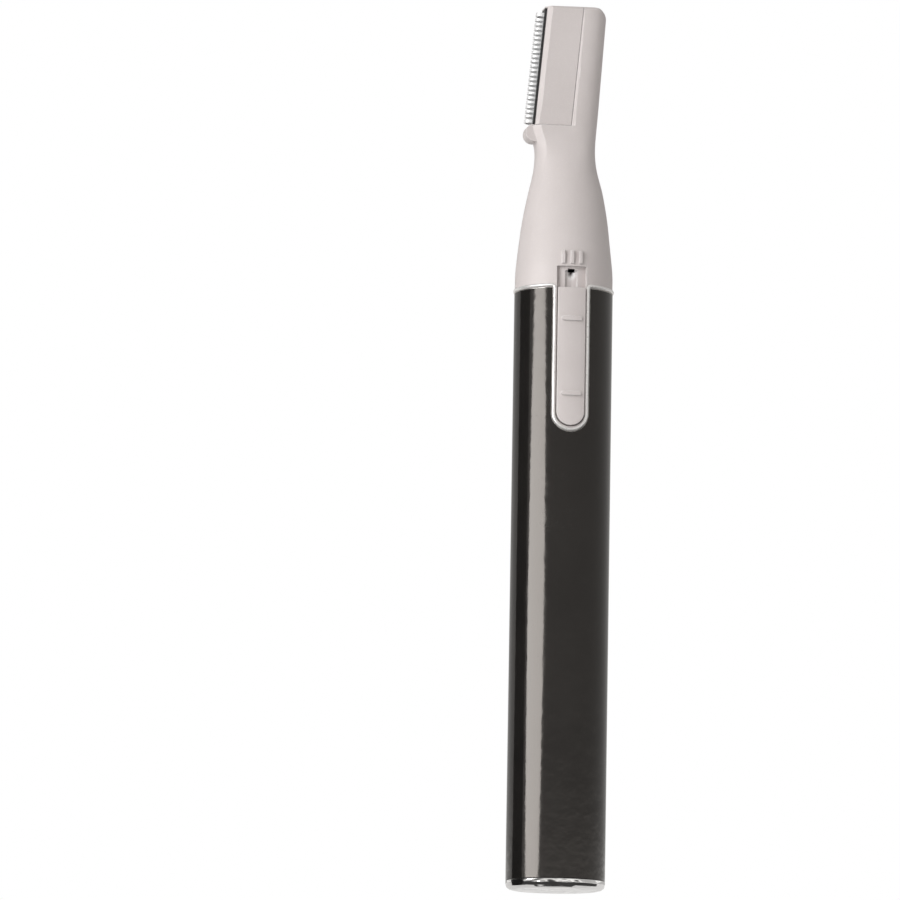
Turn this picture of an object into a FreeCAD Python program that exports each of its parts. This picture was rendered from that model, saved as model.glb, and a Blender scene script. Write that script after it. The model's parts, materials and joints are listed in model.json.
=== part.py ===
import FreeCAD, Part
import Sketcher
import math
import os
from FreeCAD import Vector, Placement, Rotation

# Pen-style personal trimmer with a side blade, run from one AAA cell.
# Frame: +Z up, the trimmer stands on its end cap, origin at the middle of the cap's underside,
# the slide switch faces -Y and the cutting edge faces -X.  Millimetres.

doc = FreeCAD.newDocument("trimmer")
sheet = doc.addObject("Spreadsheet::Sheet", "dims")


# ------------------------------------------------------------------ driving dimensions
class Ex:
    """A sheet expression that also carries its value."""

    def __init__(self, text, value):
        self.text, self.value = text, float(value)

    def _join(self, other, op, value):
        return Ex("(%s %s %s)" % (self.text, op, other.text), value)

    def __add__(self, other):
        o = ex(other)
        return self._join(o, "+", self.value + o.value)

    def __radd__(self, other):
        return ex(other) + self

    def __sub__(self, other):
        o = ex(other)
        return self._join(o, "-", self.value - o.value)

    def __rsub__(self, other):
        return ex(other) - self

    def __mul__(self, other):
        o = ex(other)
        return self._join(o, "*", self.value * o.value)

    def __rmul__(self, other):
        return ex(other) * self

    def __truediv__(self, other):
        o = ex(other)
        return self._join(o, "/", self.value / o.value)

    def __neg__(self):
        return Ex("(0 - %s)" % self.text, -self.value)


def ex(x):
    return x if isinstance(x, Ex) else Ex("%.6f" % float(x), x)


DIM_TABLE = [
    ("tube_radius", 7.8, "outside radius of the barrel tube"),
    ("tube_wall", 0.5, "tube wall"),
    ("tube_low", 1.5, "lower end of the tube"),
    ("tube_high", 94.5, "upper end of the tube"),
    ("slot_half", 2.97, "half width of the open-topped slot"),
    ("slot_end", 71.55, "lowest point of the slot's round end"),
    ("cap_flat", 6.7, "radius of the cap's flat underside"),
    ("cap_floor", 1.1, "cap floor thickness"),
    ("spigot_gap", 0.02, "cap spigot to tube bore"),
    ("spigot_high", 6.4, "top of the cap's spigot"),
    ("spigot_wall", 1.0, "wall of the cap's spigot"),
    ("cell_radius", 5.25, "AAA cell radius"),
    ("cell_low", 8.0, "cell's negative end"),
    ("cell_length", 44.5, "AAA cell length with its nub"),
    ("cell_nub", 1.9, "radius of the cell's positive nub"),
    ("liner_bore", 5.5, "battery liner bore radius"),
    ("liner_outer", 7.25, "battery liner outside radius"),
    ("frame_low", 53.0, "underside of the chassis"),
    ("frame_high", 88.5, "top of the chassis"),
    ("frame_radius", 7.1, "chassis outside radius"),
    ("frame_bore", 6.05, "chassis bore radius"),
    ("motor_radius", 6.0, "motor can radius"),
    ("motor_flat", 5.0, "motor can half thickness across its flats"),
    ("motor_low", 71.0, "motor can lower end"),
    ("motor_high", 87.0, "motor can upper end"),
    ("shaft_radius", 0.5, "motor shaft radius"),
    ("crank_throw", 0.6, "throw of the crank pin"),
    ("crank_pin", 0.6, "crank pin radius"),
    ("wheel_radius", 2.6, "crank wheel radius"),
    ("wheel_low", 89.3, "crank wheel underside"),
    ("wheel_high", 91.4, "crank wheel top"),
    ("pin_high", 95.2, "top of the crank pin"),
    ("neck_bore", 6.2, "bore of the neck's skirt"),
    ("skirt_low", 88.7, "lower end of the neck's skirt"),
    ("seat_gap", 0.05, "neck shoulder above the tube's rim"),
    ("tongue_half", 2.92, "half width of the tongue that fills the slot"),
    ("tongue_radius", 7.66, "outside radius of the tongue"),
    ("tongue_inner", 6.3, "inside radius of the tongue"),
    ("track_half", 2.35, "half width of the switch track"),
    ("track_radius", 6.95, "radius of the track floor"),
    ("track_low", 72.35, "lowest point of the track"),
    ("track_high", 97.9, "top of the track"),
    ("slider_half", 2.2, "half width of the switch slider"),
    ("slider_low", 72.55, "lowest point of the slider"),
    ("slider_high", 94.45, "top of the slider"),
    ("slider_radius", 8.05, "radius of the slider's face"),
    ("rib_high_z", 89.5, "upper thumb rib"),
    ("rib_low_z", 77.6, "lower thumb rib"),
    ("head_x", -0.4, "head frame origin, x"),
    ("head_z", 121.0, "head frame origin, z"),
    ("head_lean", 5.3, "lean of the head to the right, degrees"),
    ("blade_low", 0.3, "comb blade lower end, head frame"),
    ("blade_length", 18.0, "comb blade length"),
    ("tooth_pitch", 0.75, "tooth pitch"),
    ("tooth_slot", 0.35, "width of a comb slot"),
    ("comb_thick", 0.25, "comb blade sheet"),
    ("comb_fold", 0.95, "outside radius of the comb's fold"),
    ("comb_centre", -5.5, "centre of the comb's fold, head frame"),
    ("comb_back", -2.2, "back edge of the comb's flats"),
    ("cutter_thick", 0.5, "moving cutter thickness"),
    ("cutter_tip", -6.1, "moving cutter tips"),
    ("cutter_back", -3.05, "moving cutter back edge"),
    ("rod_x", -2.2, "drive rod centre, head frame"),
    ("nose_z", -17.6, "rocker nose height, head frame"),
    ("nose_radius", 0.6, "rocker nose radius"),
    ("rocker_arm", 4.8, "rocker nose to pivot"),
    ("rocker_half", 0.8, "rocker half thickness"),
    ("pivot_radius", 0.75, "rocker pin radius"),
    ("pivot_gap", 0.05, "rocker bore clearance"),
    ("fork_half", 2.05, "half gap of the rocker's fork"),
    ("neck_wall", 1.15, "neck shell wall"),
    ("switch_travel", 3.0, "slide switch travel"),
]
for i, (alias, value, note) in enumerate(DIM_TABLE, start=1):
    sheet.set("A%d" % i, note)
    sheet.set("B%d" % i, "%g" % value)
    sheet.setAlias("B%d" % i, alias)
doc.recompute()


def d(alias):
    return Ex("dims." + alias, sheet.get(alias))


# ------------------------------------------------------------------ helpers
def put(obj, x=0, y=0, z=0):
    for axis, value in (("x", x), ("y", y), ("z", z)):
        v = ex(value)
        if isinstance(value, Ex) or v.value:
            obj.setExpression("Placement.Base." + axis, v.text)
    return obj


def in_head(obj):
    """Places an object in the head's leaning frame."""
    obj.Placement = Placement(Vector(d("head_x").value, 0, d("head_z").value),
                              Rotation(Vector(0, 1, 0), d("head_lean").value))
    obj.setExpression("Placement.Base.x", "dims.head_x")
    obj.setExpression("Placement.Base.z", "dims.head_z")
    obj.setExpression("Placement.Rotation.Angle", "dims.head_lean")
    return obj


def box(name, x0, x1, y0, y1, z0, z1):
    b = doc.addObject("Part::Box", name)
    for prop, lo, hi in (("Length", x0, x1), ("Width", y0, y1), ("Height", z0, z1)):
        b.setExpression(prop, (ex(hi) - ex(lo)).text)
    return put(b, ex(x0), ex(y0), ex(z0))


def head_box(name, x0, x1, y0, y1, z0, z1):
    """Box given in the head's leaning frame."""
    b = box(name, x0, x1, y0, y1, z0, z1)
    a = math.radians(d("head_lean").value)
    c, s = Ex("cos(dims.head_lean * 1 deg)", math.cos(a)), Ex("sin(dims.head_lean * 1 deg)", math.sin(a))
    u, w = ex(x0), ex(z0)
    b.Placement = Placement(Vector(0, 0, 0), Rotation(Vector(0, 1, 0), d("head_lean").value))
    b.setExpression("Placement.Base.x", (d("head_x") + c * u + s * w).text)
    b.setExpression("Placement.Base.y", ex(y0).text)
    b.setExpression("Placement.Base.z", (d("head_z") - s * u + c * w).text)
    b.setExpression("Placement.Rotation.Angle", "dims.head_lean")
    return b


def cyl(name, radius, z0, z1, x=0, y=0):
    c = doc.addObject("Part::Cylinder", name)
    c.setExpression("Radius", ex(radius).text)
    c.setExpression("Height", (ex(z1) - ex(z0)).text)
    return put(c, x, y, ex(z0))


def ycyl(name, radius, x, y0, y1, z):
    """Cylinder along +Y."""
    c = doc.addObject("Part::Cylinder", name)
    c.setExpression("Radius", ex(radius).text)
    c.setExpression("Height", (ex(y1) - ex(y0)).text)
    c.Placement = Placement(Vector(0, 0, 0), Rotation(Vector(1, 0, 0), -90))
    return put(c, x, ex(y0), ex(z))


def fuse(label, *parts):
    f = doc.addObject("Part::MultiFuse", label)
    f.Shapes = list(parts)
    return f


def cut(label, base, *tools):
    c = doc.addObject("Part::Cut", label)
    c.Base = base
    c.Tool = tools[0] if len(tools) == 1 else fuse(label + "_tools", *tools)
    return c


def common(label, a, b):
    c = doc.addObject("Part::Common", label)
    c.Base, c.Tool = a, b
    return c


def plane_of(body, role):
    for f in body.Origin.OriginFeatures:
        if f.Role == role:
            return f


def new_body(label):
    return doc.addObject("PartDesign::Body", label)


def sketch(body, name, role, offset=None):
    sk = body.newObject("Sketcher::SketchObject", name)
    sk.AttachmentSupport = [(plane_of(body, role), "")]
    sk.MapMode = "FlatFace"
    if offset is not None:
        sk.setExpression("AttachmentOffset.Base.z", ex(offset).text)
    return sk


def pin_point(sk, geo, pos, x, y):
    for kind, axis, value in (("DistanceX", -2, x), ("DistanceY", -1, y)):
        v = ex(value)
        if not isinstance(value, Ex) and v.value == 0:
            sk.addConstraint(Sketcher.Constraint("PointOnObject", geo, pos, axis))
        else:
            n = sk.addConstraint(Sketcher.Constraint(kind, -1, 1, geo, pos, v.value))
            sk.setExpression("Constraints[%d]" % n, v.text)


def polygon(sk, points):
    first = sk.GeometryCount
    n = len(points)
    for i in range(n):
        (x0, y0), (x1, y1) = points[i], points[(i + 1) % n]
        sk.addGeometry(Part.LineSegment(Vector(ex(x0).value, ex(y0).value, 0), Vector(ex(x1).value, ex(y1).value, 0)))
    for i in range(n):
        sk.addConstraint(Sketcher.Constraint("Coincident", first + i, 2, first + (i + 1) % n, 1))
    for i, (x, y) in enumerate(points):
        pin_point(sk, first + i, 1, x, y)
    return sk


def circle(sk, x, y, radius):
    g = sk.addGeometry(Part.Circle(Vector(ex(x).value, ex(y).value, 0), Vector(0, 0, 1), ex(radius).value))
    pin_point(sk, g, 3, x, y)
    n = sk.addConstraint(Sketcher.Constraint("Radius", g, ex(radius).value))
    sk.setExpression("Constraints[%d]" % n, ex(radius).text)
    return sk


def pad(body, sk, length, name, midplane=False, reverse=False):
    p = body.newObject("PartDesign::Pad", name)
    p.Profile = sk
    p.setExpression("Length", ex(length).text)
    if midplane:
        p.Midplane = True
    p.Reversed = reverse
    return p


def pocket(body, sk, name, length=None, midplane=False, reverse=False):
    doc.recompute()
    before = body.Shape.Volume
    p = body.newObject("PartDesign::Pocket", name)
    p.Profile = sk
    if length is None:
        p.Type = 1
    else:
        p.setExpression("Length", ex(length).text)
    p.Midplane = midplane
    p.Reversed = reverse
    doc.recompute()
    if not body.Shape.Volume < before - 1e-6:
        raise RuntimeError("pocket %s cuts nothing" % name)
    return p


def revolve(body, sk, name):
    r = body.newObject("PartDesign::Revolution", name)
    r.Profile = sk
    r.ReferenceAxis = (sk, ["V_Axis"])
    r.Angle = 360
    return r


nodes = []


def node(obj, label):
    obj.Label = label
    nodes.append(obj)
    return obj


# ------------------------------------------------------------------ barrel
# Tube: aluminium, lacquered, with a round-ended slot open at its top rim.
tube = new_body("tube_body")
tube_profile = sketch(tube, "tube_profile", "XY_Plane", d("tube_low"))
circle(tube_profile, 0, 0, d("tube_radius"))
circle(tube_profile, 0, 0, d("tube_radius") - d("tube_wall"))
pad(tube, tube_profile, d("tube_high") - d("tube_low"), "tube_pad")
slot = sketch(tube, "tube_slot", "XZ_Plane")
polygon(slot, [(-d("slot_half"), d("slot_end") + d("slot_half")), (d("slot_half"), d("slot_end") + d("slot_half")),
               (d("slot_half"), d("tube_high") + 1), (-d("slot_half"), d("tube_high") + 1)])
pocket(tube, slot, "tube_slot_cut", length=20, reverse=True)
slot_round = sketch(tube, "tube_slot_round", "XZ_Plane")
circle(slot_round, 0, d("slot_end") + d("slot_half"), d("slot_half"))
pocket(tube, slot_round, "tube_slot_end", length=20, reverse=True)
node(tube, "barrel_tube")

# End cap: bright plated disc with a hollow spigot pressed into the tube.
cap = new_body("cap_body")
cap_profile = sketch(cap, "cap_profile", "XZ_Plane")
spigot = d("tube_radius") - d("tube_wall") - d("spigot_gap")
polygon(cap_profile, [
    (0, 0), (d("cap_flat"), 0), (d("cap_flat") + 0.55, 0.12), (d("tube_radius") - 0.16, 0.42), (d("tube_radius"), 0.85),
    (d("tube_radius"), d("tube_low") - 0.1), (d("tube_radius") - 0.1, d("tube_low")),
    (spigot, d("tube_low")), (spigot, d("spigot_high")), (spigot - d("spigot_wall"), d("spigot_high")),
    (spigot - d("spigot_wall"), d("cap_floor")), (0, d("cap_floor"))])
revolve(cap, cap_profile, "cap_turned")
node(cap, "end_cap")

# Negative contact: a plated plate and a conical coil spring on the cap's floor.
plate = cyl("spring_plate_disc", 5.9, d("cap_floor") + 0.02, d("cap_floor") + 0.32)
node(plate, "spring_plate")

spring_low, spring_top = d("cap_floor").value + 0.32 + 0.37, d("cell_low").value - 0.40
helix = Part.makeHelix((spring_top - spring_low) / 3.5, spring_top - spring_low, 4.2, -10.0)
start = helix.Edges[0].valueAt(helix.Edges[0].FirstParameter)
tangent = helix.Edges[0].tangentAt(helix.Edges[0].FirstParameter)
profile = Part.Wire([Part.makeCircle(0.35, start, tangent)])
coil = Part.Wire(helix.Edges).makePipeShell([profile], True, True)
spring = doc.addObject("Part::Feature", "battery_spring_coil")
spring.Shape = coil if coil.ShapeType == "Solid" else Part.makeSolid(coil)
spring.Placement = Placement(Vector(0, 0, spring_low), Rotation())
node(spring, "battery_spring")

# Battery liner: plastic sleeve that centres the cell in the tube.
liner = cut("liner", cyl("liner_outer", d("liner_outer"), d("spigot_high") + 0.1, d("frame_low") - 0.6),
            cyl("liner_bore", d("liner_bore"), 0, 60), box("liner_split", -0.75, 0.75, 4, 9, 0, 60))
node(liner, "battery_liner")

# ------------------------------------------------------------------ AAA cell
cell = new_body("cell_body")
cell_profile = sketch(cell, "cell_profile", "XZ_Plane")
cell_top = d("cell_low") + d("cell_length") - 1.0
polygon(cell_profile, [(0, d("cell_low")), (d("cell_radius") - 1.1, d("cell_low")), (d("cell_radius") - 0.9, d("cell_low") + 0.25),
                       (d("cell_radius") - 0.25, d("cell_low") + 0.25), (d("cell_radius"), d("cell_low") + 0.5),
                       (d("cell_radius"), cell_top - 0.3), (d("cell_radius") - 0.3, cell_top), (0, cell_top)])
revolve(cell, cell_profile, "cell_turned")
node(cell, "battery_can")
washer = cut("washer", cyl("washer_disc", 4.6, cell_top, cell_top + 0.2), cyl("washer_hole", d("cell_nub"), cell_top - 1, cell_top + 1))
node(washer, "battery_insulator")
nub = fuse("nub", cyl("nub_stem", d("cell_nub"), cell_top, cell_top + 0.85), cyl("nub_top", d("cell_nub") - 0.25, cell_top + 0.85, cell_top + 1.0))
node(nub, "battery_positive_cap")

# ------------------------------------------------------------------ chassis
# Frame: moulded cradle for the motor, open at the front behind the switch.
frame = cut("frame", cyl("frame_blank", d("frame_radius"), d("frame_low"), d("frame_high")),
            cyl("frame_bay", d("frame_bore"), d("frame_low") + 1.5, d("motor_high")),
            cyl("frame_boss_hole", 2.1, d("motor_high") - 1, d("frame_high") + 1),
            cyl("frame_screw_a", 0.85, d("motor_high") - 1, d("frame_high") + 1, 4.2, 0),
            cyl("frame_screw_b", 0.85, d("motor_high") - 1, d("frame_high") + 1, -4.2, 0),
            box("frame_front", -3.7, 3.7, -9, -4.4, d("frame_low") + 1.5, 99),
            box("frame_notch", -1.5, 1.5, -9, -5.1, d("frame_low") - 1, d("frame_low") + 2),
            box("frame_rear", -1.8, 1.8, 5.15, 9, 59, 72))
node(frame, "chassis_frame")

positive = fuse("positive", box("positive_pad", -1.2, 1.2, -5.6, 2.2, d("cell_low") + d("cell_length") + 0.05, d("frame_low") - 0.02),
                box("positive_riser", -1.2, 1.2, -5.6, -5.35, d("cell_low") + d("cell_length") + 0.05, 78))
node(positive, "positive_contact")
switch_contact = fuse("switch_contact_strip", box("contact_pad", -1.2, 1.2, -5.6, -5.35, 80, 86.2),
                      box("contact_bridge", 1.0, 2.6, -5.6, -5.35, 84.6, 86.2), box("contact_leg", 1.8, 2.6, -5.6, -5.35, 69.0, 86.2),
                      box("contact_foot", 1.8, 2.6, -5.6, -3.6, 68.7, 69.0))
node(switch_contact, "switch_contact")
negative = fuse("negative", box("negative_strip", -1.5, 1.5, 5.3, 5.55, 60, 69.3), box("negative_leaf", -1.5, 1.5, 5.3, 7.15, 60, 60.3),
                box("negative_tip", -1.5, 1.5, 6.9, 7.15, 60, 63), box("negative_foot", -1.5, 1.5, 3.4, 5.55, 69.0, 69.3))
node(negative, "negative_contact")

# Motor: flat-sided can, brush end cap, terminals, magnets and two bushes.
can_outer = common("can_outer", cyl("can_blank", d("motor_radius"), d("motor_low"), d("motor_high")),
                   box("can_flats", -9, 9, -d("motor_flat"), d("motor_flat"), 60, 99))
can = cut("can", fuse("can_whole", can_outer, cyl("can_boss", 2.0, d("motor_high"), d("motor_high") + 1.2)),
          common("can_inner", cyl("can_bore", d("motor_radius") - 0.35, d("motor_low") - 1, d("motor_high") - 0.5),
                 box("can_inner_flats", -9, 9, 0.35 - d("motor_flat"), d("motor_flat") - 0.35, 60, 99)),
          cyl("can_bush_hole", 1.4, 80, 99), cyl("can_thread_a", 0.8, d("motor_high") - 2, 99, 4.2, 0),
          cyl("can_thread_b", 0.8, d("motor_high") - 2, 99, -4.2, 0))
node(can, "motor_can")
brush_cap = cut("brush_cap", common("brush_cap_outer", cyl("brush_blank", d("motor_radius") - 0.4, 69.6, 72.0),
                box("brush_flats", -9, 9, 0.4 - d("motor_flat"), d("motor_flat") - 0.4, 60, 99)), cyl("brush_hole", 1.4, 60, 80),
                cyl("brush_room", 3.4, 70.8, 80))
node(brush_cap, "motor_end_cap")
terminals = fuse("terminals", box("terminal_a", 1.7, 2.7, -3.5, -3.2, 68.6, 69.6), box("terminal_b", -0.5, 0.5, 3.1, 3.4, 68.6, 69.6))
node(terminals, "motor_terminals")
bushes = fuse("bushes", cut("bush_top", cyl("bush_top_o", 1.39, 85.8, d("motor_high") + 1.1), cyl("bush_top_i", d("shaft_radius") + 0.03, 80, 99)),
              cut("bush_low", cyl("bush_low_o", 1.39, 69.7, 70.7), cyl("bush_low_i", d("shaft_radius") + 0.03, 60, 80)))
node(bushes, "motor_bushes")
magnet_ring = cut("magnet_ring", common("magnet_outer", cyl("magnet_blank", d("motor_radius") - 0.37, 74, 84.5),
                  box("magnet_flats", -9, 9, 0.4 - d("motor_flat"), d("motor_flat") - 0.4, 60, 99)), cyl("magnet_bore", 4.05, 60, 99),
                  box("magnet_gap", -2.0, 2.0, -9, 9, 60, 99))
node(magnet_ring, "motor_magnets")
screws = fuse("screws", *[p for sx in (4.2, -4.2) for p in (
    cut("screw_%d" % (sx > 0), fuse("screw_whole_%d" % (sx > 0), cyl("screw_shank_%d" % (sx > 0), 0.78, d("motor_high") - 1.4, d("frame_high"), sx, 0),
        cyl("screw_head_%d" % (sx > 0), 1.25, d("frame_high"), d("frame_high") + 0.6, sx, 0)),
        box("screw_slot_%d" % (sx > 0), sx - 1.5, sx + 1.5, -0.15, 0.15, d("frame_high") + 0.3, d("frame_high") + 1)),)])
node(screws, "motor_screws")

# ------------------------------------------------------------------ rotor
shaft = cyl("shaft", d("shaft_radius"), 69.75, d("wheel_high"))
node(shaft, "motor_shaft")
core = new_body("core_body")
core_profile = sketch(core, "core_profile", "XY_Plane", 76)
circle(core_profile, 0, 0, 3.75)
circle(core_profile, 0, 0, d("shaft_radius"))
pad(core, core_profile, 6.5, "core_pad")
core_slot = sketch(core, "core_slot", "XY_Plane", 76)
polygon(core_slot, [(-0.45, 3.2), (-1.5, 2.9), (-1.5, 1.6), (1.5, 1.6), (1.5, 2.9), (0.45, 3.2), (0.45, 4.2), (-0.45, 4.2)])
core_cut = pocket(core, core_slot, "core_slot_cut", reverse=True)
pattern = core.newObject("PartDesign::PolarPattern", "core_poles")
pattern.Originals = [core_cut]
pattern.Axis = (core_profile, ["N_Axis"])
pattern.Angle = 360
pattern.Occurrences = 3
core.Tip = pattern
node(core, "armature_core")
windings = cut("windings", fuse("windings_ends", cyl("winding_top", 3.3, 82.5, 84.0), cyl("winding_low", 3.3, 74.5, 76.0)),
               cyl("winding_bore", d("shaft_radius"), 60, 99))
node(windings, "armature_windings")
commutator = cut("commutator_ring", cyl("commutator_o", 1.2, 71.6, 74.3), cyl("commutator_i", d("shaft_radius"), 60, 99))
node(commutator, "commutator")
wheel = new_body("wheel_body")
wheel_profile = sketch(wheel, "wheel_profile", "XY_Plane", d("wheel_low"))
circle(wheel_profile, 0, 0, d("wheel_radius"))
circle(wheel_profile, 0, 0, d("shaft_radius"))
pad(wheel, wheel_profile, d("wheel_high") - d("wheel_low"), "wheel_pad")
pin_profile = sketch(wheel, "pin_profile", "XY_Plane", d("wheel_high") - 0.01)
circle(pin_profile, d("crank_throw"), 0, d("crank_pin"))
pad(wheel, pin_profile, d("pin_high") - d("wheel_high") + 0.01, "pin_pad")
node(wheel, "crank_wheel")

# ------------------------------------------------------------------ head outer form
LEAN = math.tan(math.radians(d("head_lean").value))


def blade_edge(z):
    return d("head_x").value - 5.35 + LEAN * (z - d("head_z").value)


def back_edge(z):
    return 4.98 + 0.0713 * (z - 122.0)


# height, left, right, half depth, flat-panel share (0 = oval neck, 1 = flat head)
SECTIONS = [
    (94.5 + d("seat_gap").value, -7.76, 7.76, 7.76, 0.0), (97.0, -7.74, 7.74, 7.70, 0.0), (100.0, -7.52, 7.50, 7.38, 0.0),
    (103.1, -7.17, 7.16, 6.86, 0.0), (106.3, -6.74, 6.80, 6.18, 0.0), (109.0, -6.24, 6.36, 5.46, 0.0),
    (111.5, -5.70, 5.84, 4.80, 0.04), (114.0, -5.14, 5.14, 4.20, 0.16), (116.0, -4.90, 4.78, 3.78, 0.36),
    (118.5, -5.02, 4.70, 3.34, 0.70), (121.0, blade_edge(121.0), 4.88, 3.04, 0.95)]
for z, depth in ((124.0, 2.95), (128.0, 2.92), (132.0, 2.89), (136.0, 2.86), (139.0, 2.83), (141.4, 2.80)):
    SECTIONS.append((z, blade_edge(z), back_edge(z), depth, 1.0))


def cosine_space(a, b, n):
    return [a + (b - a) * i / (n - 1) for i in range(n)]


def section_edges(z, left, right, depth, flat, shrink=0.0):
    """One closed section as six smooth edges that meet at the head's two ridges, two front corners and two side points."""
    left, right, depth = left + shrink, right - shrink, depth - shrink
    mid, half = (left + right) / 2, (right - left) / 2
    corner, ridge = left + 1.25, left + 6.65          # where the flat panel starts and ends
    side = 0.60                                       # half thickness share at the blade edge

    def oval(a):
        return mid + half * math.cos(a), depth * math.sin(a)

    a_ridge = -math.acos(max(-1.0, min(1.0, (ridge - mid) / half)))
    a_corner = -math.acos(max(-1.0, min(1.0, (corner - mid) / half)))
    runs = []
    # right side, from the side point round to the ridge
    pts = []
    for t in cosine_space(0.0, 1.0, 9):
        a = a_ridge * t
        ox, oy = oval(a)
        q = t * math.pi / 2
        px = ridge + (right - ridge) * math.cos(q) ** 0.86 if t < 1 else ridge
        py = -depth * math.sin(q) ** 0.92 if t > 0 else 0.0
        pts.append((ox + (px - ox) * flat, oy + (py - oy) * flat))
    runs.append(pts)
    # front panel, ridge to corner
    pts = []
    for t in cosine_space(0.0, 1.0, 9):
        a = a_ridge + (a_corner - a_ridge) * t
        ox, oy = oval(a)
        px, py = ridge + (corner - ridge) * t, -depth
        pts.append((ox + (px - ox) * flat, oy + (py - oy) * flat))
    runs.append(pts)
    # blade side, corner to the left side point
    pts = []
    for t in cosine_space(0.0, 1.0, 9):
        a = a_corner + (-math.pi - a_corner) * t
        ox, oy = oval(a)
        if t < 0.7:
            k = t / 0.7
            px, py = corner + (left - corner) * k * 0.88, -depth * (1 - (1 - side) * k)
        else:
            k = (t - 0.7) / 0.3
            px = corner + (left - corner) * (0.88 + 0.12 * math.sin(k * math.pi / 2))
            py = -depth * side * math.cos(k * math.pi / 2)
        pts.append((ox + (px - ox) * flat, oy + (py - oy) * flat))
    runs.append(pts)
    mirrored = [[(x, -y) for x, y in reversed(r)] for r in reversed(runs)]
    edges = []
    for r in runs + mirrored:
        curve = Part.BSplineCurve()
        curve.interpolate([Vector(x, y, z) for x, y in r])
        edges.append(curve.toShape())
    return edges


def section_wire(*row, shrink=0.0):
    return Part.Wire(section_edges(*row, shrink=shrink))


def loft(name, rows, shrink=0.0):
    wires = []
    for i, row in enumerate(rows):
        w = doc.addObject("Part::Feature", "%s_section_%02d" % (name, i))
        w.Shape = section_wire(*row, shrink=shrink)
        wires.append(w)
    lo = doc.addObject("Part::Loft", name)
    lo.Sections = wires
    lo.Solid = True
    lo.Ruled = False
    return lo


head_loft = loft("head_loft", SECTIONS)
# Outline that rounds the head's top right corner.
top_line = doc.addObject("Part::Feature", "head_outline")
outline = [Part.makeLine(Vector(-12, -9, 90), Vector(-12, -9, 140.45)), Part.makeLine(Vector(-12, -9, 140.45), Vector(-3.4, -9, 140.62)),
           Part.makeLine(Vector(-3.4, -9, 140.62), Vector(3.7, -9, 140.76)),
           Part.Arc(Vector(3.7, -9, 140.76), Vector(5.5, -9, 140.02), Vector(6.3, -9, 138.2)).toShape(),
           Part.makeLine(Vector(6.3, -9, 138.2), Vector(12, -9, 130)), Part.makeLine(Vector(12, -9, 130), Vector(12, -9, 90)),
           Part.makeLine(Vector(12, -9, 90), Vector(-12, -9, 90))]
top_line.Shape = Part.Face(Part.Wire(outline)).extrude(Vector(0, 18, 0))
side_line = doc.addObject("Part::Feature", "head_side_outline")
side_outline = [Part.makeLine(Vector(-9, -9, 90), Vector(-9, -9, 139.6)), Part.makeLine(Vector(-9, -9, 139.6), Vector(-9, -2.86, 139.75)),
                Part.Arc(Vector(-9, -2.86, 139.75), Vector(-9, -2.52, 140.50), Vector(-9, -1.75, 140.80)).toShape(),
                Part.makeLine(Vector(-9, -1.75, 140.80), Vector(-9, 1.75, 140.80)),
                Part.Arc(Vector(-9, 1.75, 140.80), Vector(-9, 2.52, 140.50), Vector(-9, 2.86, 139.75)).toShape(),
                Part.makeLine(Vector(-9, 2.86, 139.75), Vector(-9, 9, 139.6)), Part.makeLine(Vector(-9, 9, 139.6), Vector(-9, 9, 90)),
                Part.makeLine(Vector(-9, 9, 90), Vector(-9, -9, 90))]
side_line.Shape = Part.Face(Part.Wire(side_outline)).extrude(Vector(18, 0, 0))
head_trim = common("head_trim", head_loft, common("head_limits", top_line, side_line))
nub_round = doc.addObject("Part::Fillet", "head_nub_round")
nub_round.Base = ycyl("head_nub", 1.45, -5.3, -1.75, 1.75, 120.15)
nub_round.Edges = [(1, 0.6, 0.6), (3, 0.6, 0.6)]
head_solid = fuse("head_solid", head_trim, nub_round)
# The front panel lies a little below the ridge on its right, with a sloping flank between them.
panel = doc.addObject("Part::Feature", "panel_recess")
panel_points = [Vector(-9.5, -6, -1), Vector(-9.5, -2.72, -1), Vector(0.75, -2.72, -1), Vector(1.32, -2.96, -1), Vector(1.32, -6, -1)]
panel.Shape = Part.Face(Part.makePolygon(panel_points + panel_points[:1])).extrude(Vector(0, 0, 26))
in_head(panel)
panel_cut = common("panel_cut", panel, box("panel_limit", -12, 12, -9, 9, 121.24, 150))

neck_rows = [r for r in SECTIONS if r[0] < 118.6]
neck_room = loft("neck_room", [(93.9,) + neck_rows[0][1:]] + neck_rows[1:], shrink=d("neck_wall").value)
blade_bay = in_head(fuse("blade_bay", box("bay_open", -9.5, -4.9, -5, 5, 0.0, 19.0), box("bay_inner", -9.5, -0.95, -1.5, 1.5, 0.0, 19.0),
                         box("bay_rod", -3.15, -1.25, -0.8, 0.8, -7.0, 1.0)))
pivot_x = d("head_x").value + math.cos(math.radians(d("head_lean").value)) * (d("rod_x").value + d("rocker_arm").value) \
    + math.sin(math.radians(d("head_lean").value)) * d("nose_z").value
pivot_z = d("head_z").value - math.sin(math.radians(d("head_lean").value)) * (d("rod_x").value + d("rocker_arm").value) \
    + math.cos(math.radians(d("head_lean").value)) * d("nose_z").value
lean_cos, lean_sin = "cos(dims.head_lean * 1 deg)", "sin(dims.head_lean * 1 deg)"
PX = Ex("(dims.head_x + %s * (dims.rod_x + dims.rocker_arm) + %s * dims.nose_z)" % (lean_cos, lean_sin), pivot_x)
PZ = Ex("(dims.head_z - %s * (dims.rod_x + dims.rocker_arm) + %s * dims.nose_z)" % (lean_sin, lean_cos), pivot_z)
neck_cavity = cut("neck_cavity", neck_room, ycyl("boss_front", 1.7, PX, -9, -1.1, PZ), ycyl("boss_back", 1.7, PX, 1.1, 9, PZ))
skirt = cut("neck_skirt", cyl("skirt_outer", d("frame_radius"), d("skirt_low"), d("tube_high") + 0.2), cyl("skirt_inner", d("neck_bore"), 80, 99))

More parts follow.
